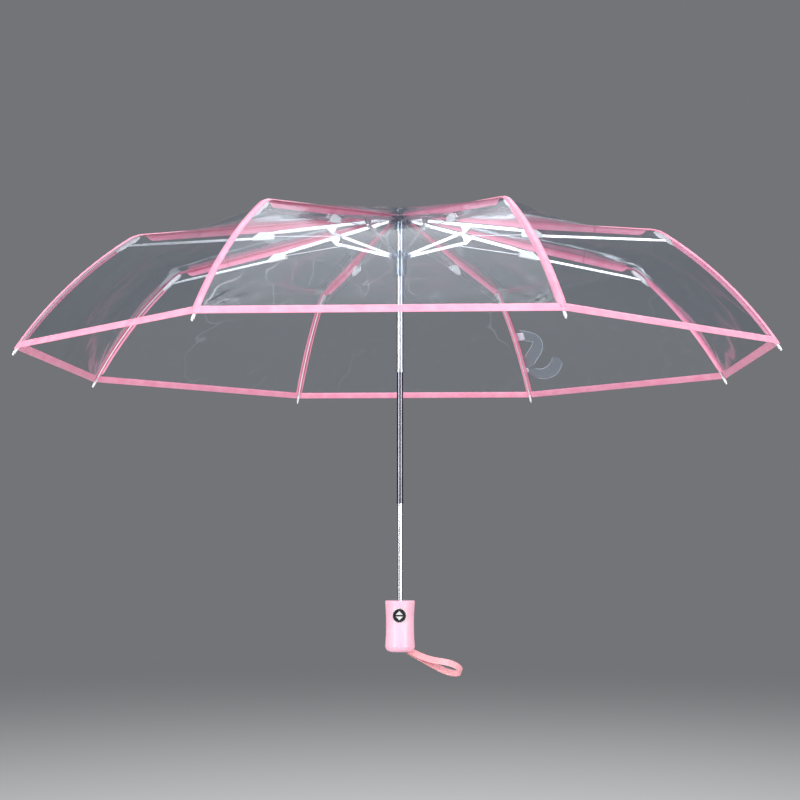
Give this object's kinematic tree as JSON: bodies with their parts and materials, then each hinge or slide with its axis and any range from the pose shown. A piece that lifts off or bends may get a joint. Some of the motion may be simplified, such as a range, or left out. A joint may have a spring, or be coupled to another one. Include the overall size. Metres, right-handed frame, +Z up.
{
  "type": "folding umbrella",
  "caption": "Clear folding umbrella with pink bound seams, jointed folding ribs, a telescopic chrome shaft, a waisted push-button grip and a wrist strap.",
  "frame": {"origin": "on the shaft's axis in the grip, 31 mm above its foot", "axes": "+Z up the shaft to the crown, -Y out of the push button"},
  "size_m": [0.9272, 0.9272, 0.6144],
  "materials": {
    "grip_pink": "satin soft-touch coating",
    "bezel_chrome": "polished",
    "button_black": "gloss, silver two-way arrow mark",
    "white_plastic": "moulded satin",
    "spring_steel": "drawn wire",
    "strap_webbing": "woven ribbon",
    "shaft_chrome": "polished tube",
    "smoke_plastic": "dark translucent moulded",
    "clear_plastic": "clear moulded",
    "clear_film": "clear soft film, glossy and creased",
    "pink_tape": "folded binding tape, stitched",
    "hook_pad": "hook-and-loop pad",
    "rib_steel": "bright plated strip",
    "rib_wire": "plated wire",
    "rib_aluminium": "satin channel with a white moulded joint",
    "rib_white": "white coated, bright ball tip"
  },
  "bodies": {
    "handle": {"handle_grip": "grip_pink", "handle_collar": "grip_pink", "handle_cap": "grip_pink", "button_bezel": "bezel_chrome", "button_spring": "spring_steel", "wrist_strap": "strap_webbing", "lower_tube": "shaft_chrome", "main_spring": "spring_steel"},
    "button": {"push_button": "button_black", "latch_fork": "white_plastic"},
    "middle_shaft": {"middle_tube": "shaft_chrome"},
    "canopy_head": {"upper_tube": "shaft_chrome", "crown": "smoke_plastic", "crown_tie_ring": "spring_steel", "top_cap": "clear_plastic", "canopy_film": "clear_film", "canopy_binding": "pink_tape", "closing_strap": "clear_film", "closing_patch": "hook_pad"},
    "runner": {"runner": "smoke_plastic"},
    "top_rib_1": {"top_rib_1": "rib_steel"},
    "stretcher_1": {"stretcher_1": "rib_steel"},
    "link_rod_1": {"link_rod_1": "rib_wire"},
    "middle_rib_1": {"middle_rib_1": "rib_aluminium"},
    "tail_rib_1": {"tail_rib_1": "rib_white"},
    "top_rib_2": {"top_rib_2": "rib_steel"},
    "stretcher_2": {"stretcher_2": "rib_steel"},
    "link_rod_2": {"link_rod_2": "rib_wire"},
    "middle_rib_2": {"middle_rib_2": "rib_aluminium"},
    "tail_rib_2": {"tail_rib_2": "rib_white"},
    "top_rib_3": {"top_rib_3": "rib_steel"},
    "stretcher_3": {"stretcher_3": "rib_steel"},
    "link_rod_3": {"link_rod_3": "rib_wire"},
    "middle_rib_3": {"middle_rib_3": "rib_aluminium"},
    "tail_rib_3": {"tail_rib_3": "rib_white"},
    "top_rib_4": {"top_rib_4": "rib_steel"},
    "stretcher_4": {"stretcher_4": "rib_steel"},
    "link_rod_4": {"link_rod_4": "rib_wire"},
    "middle_rib_4": {"middle_rib_4": "rib_aluminium"},
    "tail_rib_4": {"tail_rib_4": "rib_white"},
    "top_rib_5": {"top_rib_5": "rib_steel"},
    "stretcher_5": {"stretcher_5": "rib_steel"},
    "link_rod_5": {"link_rod_5": "rib_wire"},
    "middle_rib_5": {"middle_rib_5": "rib_aluminium"},
    "tail_rib_5": {"tail_rib_5": "rib_white"},
    "top_rib_6": {"top_rib_6": "rib_steel"},
    "stretcher_6": {"stretcher_6": "rib_steel"},
    "link_rod_6": {"link_rod_6": "rib_wire"},
    "middle_rib_6": {"middle_rib_6": "rib_aluminium"},
    "tail_rib_6": {"tail_rib_6": "rib_white"},
    "top_rib_7": {"top_rib_7": "rib_steel"},
    "stretcher_7": {"stretcher_7": "rib_steel"},
    "link_rod_7": {"link_rod_7": "rib_wire"},
    "middle_rib_7": {"middle_rib_7": "rib_aluminium"},
    "tail_rib_7": {"tail_rib_7": "rib_white"},
    "top_rib_8": {"top_rib_8": "rib_steel"},
    "stretcher_8": {"stretcher_8": "rib_steel"},
    "link_rod_8": {"link_rod_8": "rib_wire"},
    "middle_rib_8": {"middle_rib_8": "rib_aluminium"},
    "tail_rib_8": {"tail_rib_8": "rib_white"}
  },
  "joints": [
    {"name": "button_press", "type": "slide", "parent": "handle", "child": "button", "axis": [0, 1, 0], "range_m": [0, 0.0025], "stiffness_N_per_m": 300, "springref_m": -0.002, "deforming": ["button_spring"]},
    {"name": "middle_slide", "type": "slide", "parent": "handle", "child": "middle_shaft", "axis": [0, 0, -1], "range_m": [0, 0.122]},
    {"name": "upper_slide", "type": "slide", "parent": "middle_shaft", "child": "canopy_head", "axis": [0, 0, -1], "range_m": [0, 0.163], "deforming": ["main_spring"]},
    {"name": "canopy_fold", "type": "hinge", "parent": "canopy_head", "child": "top_rib_1", "pos_m": [0.01201, 0.00497, 0.541], "axis": [-0.3827, 0.9239, 0], "range_deg": [0, 77.06], "deforming": ["canopy_film", "canopy_binding", "closing_strap", "closing_patch"]},
    {"name": "stretcher_1_hinge", "type": "hinge", "parent": "top_rib_1", "child": "stretcher_1", "pos_m": [0.08777, 0.03635, 0.517], "axis": [0.3827, -0.9239, 0], "range_deg": [0, 154.12]},
    {"name": "link_rod_1_hinge", "type": "hinge", "parent": "stretcher_1", "child": "link_rod_1", "pos_m": [0.07536, 0.03121, 0.51307], "axis": [-0.3827, 0.9239, 0], "range_deg": [0, 153.05]},
    {"name": "middle_rib_1_hinge", "type": "hinge", "parent": "top_rib_1", "child": "middle_rib_1", "pos_m": [0.17554, 0.07271, 0.509], "axis": [0.3827, -0.9239, 0], "range_deg": [0, 173.75]},
    {"name": "tail_rib_1_hinge", "type": "hinge", "parent": "middle_rib_1", "child": "tail_rib_1", "pos_m": [0.33786, 0.13995, 0.4819], "axis": [-0.3827, 0.9239, 0], "range_deg": [0, 138.72]},
    {"name": "top_rib_2_hinge", "type": "hinge", "parent": "canopy_head", "child": "top_rib_2", "pos_m": [0.00497, 0.01201, 0.541], "axis": [-0.9239, 0.3827, 0], "range_deg": [0, 77.06]},
    {"name": "stretcher_2_hinge", "type": "hinge", "parent": "top_rib_2", "child": "stretcher_2", "pos_m": [0.03635, 0.08777, 0.517], "axis": [0.9239, -0.3827, 0], "range_deg": [0, 154.12]},
    {"name": "link_rod_2_hinge", "type": "hinge", "parent": "stretcher_2", "child": "link_rod_2", "pos_m": [0.03121, 0.07536, 0.51307], "axis": [-0.9239, 0.3827, 0], "range_deg": [0, 153.05]},
    {"name": "middle_rib_2_hinge", "type": "hinge", "parent": "top_rib_2", "child": "middle_rib_2", "pos_m": [0.07271, 0.17554, 0.509], "axis": [0.9239, -0.3827, 0], "range_deg": [0, 173.75]},
    {"name": "tail_rib_2_hinge", "type": "hinge", "parent": "middle_rib_2", "child": "tail_rib_2", "pos_m": [0.13995, 0.33786, 0.4819], "axis": [-0.9239, 0.3827, 0], "range_deg": [0, 138.72]},
    {"name": "top_rib_3_hinge", "type": "hinge", "parent": "canopy_head", "child": "top_rib_3", "pos_m": [-0.00497, 0.01201, 0.541], "axis": [-0.9239, -0.3827, 0], "range_deg": [0, 77.06]},
    {"name": "stretcher_3_hinge", "type": "hinge", "parent": "top_rib_3", "child": "stretcher_3", "pos_m": [-0.03635, 0.08777, 0.517], "axis": [0.9239, 0.3827, 0], "range_deg": [0, 154.12]},
    {"name": "link_rod_3_hinge", "type": "hinge", "parent": "stretcher_3", "child": "link_rod_3", "pos_m": [-0.03121, 0.07536, 0.51307], "axis": [-0.9239, -0.3827, 0], "range_deg": [0, 153.05]},
    {"name": "middle_rib_3_hinge", "type": "hinge", "parent": "top_rib_3", "child": "middle_rib_3", "pos_m": [-0.07271, 0.17554, 0.509], "axis": [0.9239, 0.3827, 0], "range_deg": [0, 173.75]},
    {"name": "tail_rib_3_hinge", "type": "hinge", "parent": "middle_rib_3", "child": "tail_rib_3", "pos_m": [-0.13995, 0.33786, 0.4819], "axis": [-0.9239, -0.3827, 0], "range_deg": [0, 138.72]},
    {"name": "top_rib_4_hinge", "type": "hinge", "parent": "canopy_head", "child": "top_rib_4", "pos_m": [-0.01201, 0.00497, 0.541], "axis": [-0.3827, -0.9239, 0], "range_deg": [0, 77.06]},
    {"name": "stretcher_4_hinge", "type": "hinge", "parent": "top_rib_4", "child": "stretcher_4", "pos_m": [-0.08777, 0.03635, 0.517], "axis": [0.3827, 0.9239, 0], "range_deg": [0, 154.12]},
    {"name": "link_rod_4_hinge", "type": "hinge", "parent": "stretcher_4", "child": "link_rod_4", "pos_m": [-0.07536, 0.03121, 0.51307], "axis": [-0.3827, -0.9239, 0], "range_deg": [0, 153.05]},
    {"name": "middle_rib_4_hinge", "type": "hinge", "parent": "top_rib_4", "child": "middle_rib_4", "pos_m": [-0.17554, 0.07271, 0.509], "axis": [0.3827, 0.9239, 0], "range_deg": [0, 173.75]},
    {"name": "tail_rib_4_hinge", "type": "hinge", "parent": "middle_rib_4", "child": "tail_rib_4", "pos_m": [-0.33786, 0.13995, 0.4819], "axis": [-0.3827, -0.9239, 0], "range_deg": [0, 138.72]},
    {"name": "top_rib_5_hinge", "type": "hinge", "parent": "canopy_head", "child": "top_rib_5", "pos_m": [-0.01201, -0.00497, 0.541], "axis": [0.3827, -0.9239, 0], "range_deg": [0, 77.06]},
    {"name": "stretcher_5_hinge", "type": "hinge", "parent": "top_rib_5", "child": "stretcher_5", "pos_m": [-0.08777, -0.03635, 0.517], "axis": [-0.3827, 0.9239, 0], "range_deg": [0, 154.12]},
    {"name": "link_rod_5_hinge", "type": "hinge", "parent": "stretcher_5", "child": "link_rod_5", "pos_m": [-0.07536, -0.03121, 0.51307], "axis": [0.3827, -0.9239, 0], "range_deg": [0, 153.05]},
    {"name": "middle_rib_5_hinge", "type": "hinge", "parent": "top_rib_5", "child": "middle_rib_5", "pos_m": [-0.17554, -0.07271, 0.509], "axis": [-0.3827, 0.9239, 0], "range_deg": [0, 173.75]},
    {"name": "tail_rib_5_hinge", "type": "hinge", "parent": "middle_rib_5", "child": "tail_rib_5", "pos_m": [-0.33786, -0.13995, 0.4819], "axis": [0.3827, -0.9239, 0], "range_deg": [0, 138.72]},
    {"name": "top_rib_6_hinge", "type": "hinge", "parent": "canopy_head", "child": "top_rib_6", "pos_m": [-0.00497, -0.01201, 0.541], "axis": [0.9239, -0.3827, 0], "range_deg": [0, 77.06]},
    {"name": "stretcher_6_hinge", "type": "hinge", "parent": "top_rib_6", "child": "stretcher_6", "pos_m": [-0.03635, -0.08777, 0.517], "axis": [-0.9239, 0.3827, 0], "range_deg": [0, 154.12]},
    {"name": "link_rod_6_hinge", "type": "hinge", "parent": "stretcher_6", "child": "link_rod_6", "pos_m": [-0.03121, -0.07536, 0.51307], "axis": [0.9239, -0.3827, 0], "range_deg": [0, 153.05]},
    {"name": "middle_rib_6_hinge", "type": "hinge", "parent": "top_rib_6", "child": "middle_rib_6", "pos_m": [-0.07271, -0.17554, 0.509], "axis": [-0.9239, 0.3827, 0], "range_deg": [0, 173.75]},
    {"name": "tail_rib_6_hinge", "type": "hinge", "parent": "middle_rib_6", "child": "tail_rib_6", "pos_m": [-0.13995, -0.33786, 0.4819], "axis": [0.9239, -0.3827, 0], "range_deg": [0, 138.72]},
    {"name": "top_rib_7_hinge", "type": "hinge", "parent": "canopy_head", "child": "top_rib_7", "pos_m": [0.00497, -0.01201, 0.541], "axis": [0.9239, 0.3827, 0], "range_deg": [0, 77.06]},
    {"name": "stretcher_7_hinge", "type": "hinge", "parent": "top_rib_7", "child": "stretcher_7", "pos_m": [0.03635, -0.08777, 0.517], "axis": [-0.9239, -0.3827, 0], "range_deg": [0, 154.12]},
    {"name": "link_rod_7_hinge", "type": "hinge", "parent": "stretcher_7", "child": "link_rod_7", "pos_m": [0.03121, -0.07536, 0.51307], "axis": [0.9239, 0.3827, 0], "range_deg": [0, 153.05]},
    {"name": "middle_rib_7_hinge", "type": "hinge", "parent": "top_rib_7", "child": "middle_rib_7", "pos_m": [0.07271, -0.17554, 0.509], "axis": [-0.9239, -0.3827, 0], "range_deg": [0, 173.75]},
    {"name": "tail_rib_7_hinge", "type": "hinge", "parent": "middle_rib_7", "child": "tail_rib_7", "pos_m": [0.13995, -0.33786, 0.4819], "axis": [0.9239, 0.3827, 0], "range_deg": [0, 138.72]},
    {"name": "top_rib_8_hinge", "type": "hinge", "parent": "canopy_head", "child": "top_rib_8", "pos_m": [0.01201, -0.00497, 0.541], "axis": [0.3827, 0.9239, 0], "range_deg": [0, 77.06]},
    {"name": "stretcher_8_hinge", "type": "hinge", "parent": "top_rib_8", "child": "stretcher_8", "pos_m": [0.08777, -0.03635, 0.517], "axis": [-0.3827, -0.9239, 0], "range_deg": [0, 154.12]},
    {"name": "link_rod_8_hinge", "type": "hinge", "parent": "stretcher_8", "child": "link_rod_8", "pos_m": [0.07536, -0.03121, 0.51307], "axis": [0.3827, 0.9239, 0], "range_deg": [0, 153.05]},
    {"name": "middle_rib_8_hinge", "type": "hinge", "parent": "top_rib_8", "child": "middle_rib_8", "pos_m": [0.17554, -0.07271, 0.509], "axis": [-0.3827, -0.9239, 0], "range_deg": [0, 173.75]},
    {"name": "tail_rib_8_hinge", "type": "hinge", "parent": "middle_rib_8", "child": "tail_rib_8", "pos_m": [0.33786, -0.13995, 0.4819], "axis": [0.3827, 0.9239, 0], "range_deg": [0, 138.72]},
    {"name": "runner_slide", "type": "slide", "parent": "canopy_head", "child": "runner", "axis": [0, 0, -1], "range_m": [0, 0.12258]}
  ],
  "couplings": [
    {"joint": "stretcher_1_hinge", "follows": "canopy_fold", "ratio": 2},
    {"joint": "link_rod_1_hinge", "follows": "canopy_fold", "ratio": 1.9861},
    {"joint": "middle_rib_1_hinge", "follows": "canopy_fold", "ratio": 2.2547},
    {"joint": "tail_rib_1_hinge", "follows": "canopy_fold", "ratio": 1.8002},
    {"joint": "top_rib_2_hinge", "follows": "canopy_fold", "ratio": 1},
    {"joint": "stretcher_2_hinge", "follows": "canopy_fold", "ratio": 2},
    {"joint": "link_rod_2_hinge", "follows": "canopy_fold", "ratio": 1.9861},
    {"joint": "middle_rib_2_hinge", "follows": "canopy_fold", "ratio": 2.2547},
    {"joint": "tail_rib_2_hinge", "follows": "canopy_fold", "ratio": 1.8002},
    {"joint": "top_rib_3_hinge", "follows": "canopy_fold", "ratio": 1},
    {"joint": "stretcher_3_hinge", "follows": "canopy_fold", "ratio": 2},
    {"joint": "link_rod_3_hinge", "follows": "canopy_fold", "ratio": 1.9861},
    {"joint": "middle_rib_3_hinge", "follows": "canopy_fold", "ratio": 2.2547},
    {"joint": "tail_rib_3_hinge", "follows": "canopy_fold", "ratio": 1.8002},
    {"joint": "top_rib_4_hinge", "follows": "canopy_fold", "ratio": 1},
    {"joint": "stretcher_4_hinge", "follows": "canopy_fold", "ratio": 2},
    {"joint": "link_rod_4_hinge", "follows": "canopy_fold", "ratio": 1.9861},
    {"joint": "middle_rib_4_hinge", "follows": "canopy_fold", "ratio": 2.2547},
    {"joint": "tail_rib_4_hinge", "follows": "canopy_fold", "ratio": 1.8002},
    {"joint": "top_rib_5_hinge", "follows": "canopy_fold", "ratio": 1},
    {"joint": "stretcher_5_hinge", "follows": "canopy_fold", "ratio": 2},
    {"joint": "link_rod_5_hinge", "follows": "canopy_fold", "ratio": 1.9861},
    {"joint": "middle_rib_5_hinge", "follows": "canopy_fold", "ratio": 2.2547},
    {"joint": "tail_rib_5_hinge", "follows": "canopy_fold", "ratio": 1.8002},
    {"joint": "top_rib_6_hinge", "follows": "canopy_fold", "ratio": 1},
    {"joint": "stretcher_6_hinge", "follows": "canopy_fold", "ratio": 2},
    {"joint": "link_rod_6_hinge", "follows": "canopy_fold", "ratio": 1.9861},
    {"joint": "middle_rib_6_hinge", "follows": "canopy_fold", "ratio": 2.2547},
    {"joint": "tail_rib_6_hinge", "follows": "canopy_fold", "ratio": 1.8002},
    {"joint": "top_rib_7_hinge", "follows": "canopy_fold", "ratio": 1},
    {"joint": "stretcher_7_hinge", "follows": "canopy_fold", "ratio": 2},
    {"joint": "link_rod_7_hinge", "follows": "canopy_fold", "ratio": 1.9861},
    {"joint": "middle_rib_7_hinge", "follows": "canopy_fold", "ratio": 2.2547},
    {"joint": "tail_rib_7_hinge", "follows": "canopy_fold", "ratio": 1.8002},
    {"joint": "top_rib_8_hinge", "follows": "canopy_fold", "ratio": 1},
    {"joint": "stretcher_8_hinge", "follows": "canopy_fold", "ratio": 2},
    {"joint": "link_rod_8_hinge", "follows": "canopy_fold", "ratio": 1.9861},
    {"joint": "middle_rib_8_hinge", "follows": "canopy_fold", "ratio": 2.2547},
    {"joint": "tail_rib_8_hinge", "follows": "canopy_fold", "ratio": 1.8002},
    {"joint": "runner_slide", "follows": "canopy_fold", "m_per_rad": 0.091144}
  ]
}
